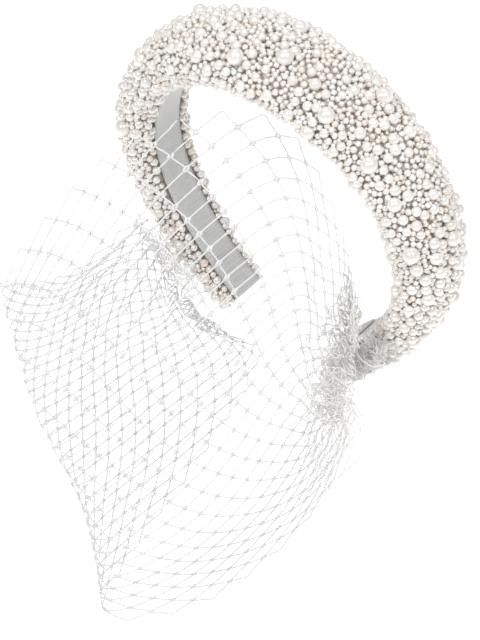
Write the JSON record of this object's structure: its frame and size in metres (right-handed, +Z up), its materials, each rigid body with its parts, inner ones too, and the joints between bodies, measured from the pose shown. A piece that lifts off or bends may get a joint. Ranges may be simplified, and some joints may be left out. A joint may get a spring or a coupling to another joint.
{
  "type": "headband",
  "caption": "Padded alice headband covered in mixed faux pearls, lined with grosgrain ribbon, with a gathered white net veil across the face.",
  "frame": {"origin": "middle of the ribbon lining's inner face at the top of the arch, where the band rests on the head", "axes": "+X towards the right end of the arch seen from the face side, +Y towards the back of the head, +Z up out of the top of the head"},
  "size_m": [0.1846, 0.1616, 0.2597],
  "materials": {
    "spring_steel": "thin spring strip, satin",
    "foam": "soft open-cell padding",
    "satin": "champagne satin with a soft sheen",
    "grosgrain": "ribbed matt ribbon",
    "small_pearl": "pearlised lacquer, sewn close together",
    "large_pearl": "pearlised lacquer, high gloss",
    "net": "stiffened open netting with small knots",
    "thread": "plain sewing thread"
  },
  "bodies": {
    "crown": {"spring_core_crown": "spring_steel", "foam_pad_crown": "foam", "satin_cover_crown": "satin", "ribbon_lining_crown": "grosgrain", "small_pearls_crown": "small_pearl", "large_pearl_01": "large_pearl", "large_pearl_02": "large_pearl", "large_pearl_03": "large_pearl", "large_pearl_04": "large_pearl", "large_pearl_05": "large_pearl", "large_pearl_06": "large_pearl", "large_pearl_07": "large_pearl", "large_pearl_08": "large_pearl", "large_pearl_09": "large_pearl", "large_pearl_10": "large_pearl", "large_pearl_11": "large_pearl", "large_pearl_12": "large_pearl", "large_pearl_13": "large_pearl", "large_pearl_14": "large_pearl", "large_pearl_15": "large_pearl", "large_pearl_16": "large_pearl", "veil_net_right": "net", "veil_net_left": "net"},
    "right_arm": {"spring_core_right": "spring_steel", "foam_pad_right": "foam", "satin_cover_right": "satin", "ribbon_lining_right": "grosgrain", "small_pearls_right": "small_pearl", "large_pearl_17": "large_pearl", "large_pearl_18": "large_pearl", "large_pearl_19": "large_pearl", "large_pearl_20": "large_pearl", "large_pearl_21": "large_pearl", "tip_wrap_right": "grosgrain", "veil_gather_right": "net", "gather_stitching_right": "thread"},
    "left_arm": {"spring_core_left": "spring_steel", "foam_pad_left": "foam", "satin_cover_left": "satin", "ribbon_lining_left": "grosgrain", "small_pearls_left": "small_pearl", "large_pearl_22": "large_pearl", "large_pearl_23": "large_pearl", "large_pearl_24": "large_pearl", "large_pearl_25": "large_pearl", "tip_wrap_left": "grosgrain", "veil_gather_left": "net", "gather_stitching_left": "thread"}
  },
  "joints": [
    {"name": "right_arm_flex", "type": "hinge", "parent": "crown", "child": "right_arm", "pos_m": [0.0894, 0, -0.0247], "axis": [0, -1, 0], "range_deg": [0, 14], "stiffness_Nm_per_rad": 1.5},
    {"name": "left_arm_flex", "type": "hinge", "parent": "crown", "child": "left_arm", "pos_m": [-0.0894, 0, -0.0247], "axis": [0, 1, 0], "range_deg": [0, 14], "stiffness_Nm_per_rad": 1.5}
  ]
}
